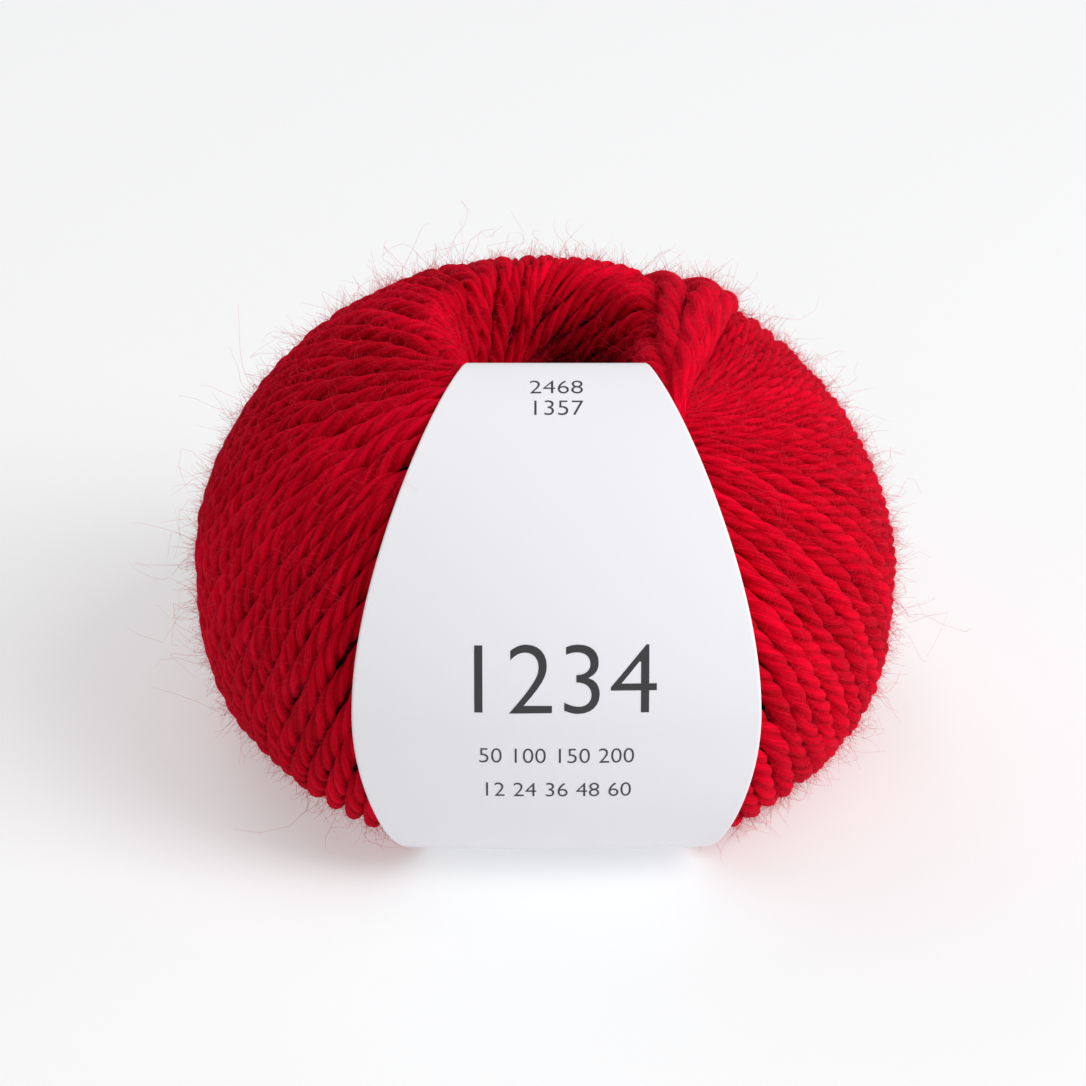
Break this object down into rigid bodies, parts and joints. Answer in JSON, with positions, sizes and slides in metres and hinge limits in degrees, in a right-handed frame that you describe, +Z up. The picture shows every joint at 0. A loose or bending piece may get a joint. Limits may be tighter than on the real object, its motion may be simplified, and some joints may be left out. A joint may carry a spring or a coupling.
{
  "type": "ball of yarn",
  "caption": "Centre-pull ball of thick plied wool yarn, wound as a low ring with a hole down its middle, in a white paper band that loops over its front and through the hole.",
  "frame": {"origin": "centre of the bounding box's underside, on the axis of the hole, where the ball rests", "axes": "+Z up along the hole; -Y towards the front, which the paper band covers; +X to the right seen from the front"},
  "size_m": [0.1, 0.0998, 0.0642],
  "materials": {
    "wool_yarn": "soft matt plied wool with a short halo of loose fibres",
    "band_paper": "uncoated smooth white card with a very fine grain"
  },
  "bodies": {
    "root": {"yarn_ball": "wool_yarn", "paper_band": "band_paper"}
  },
  "joints": []
}
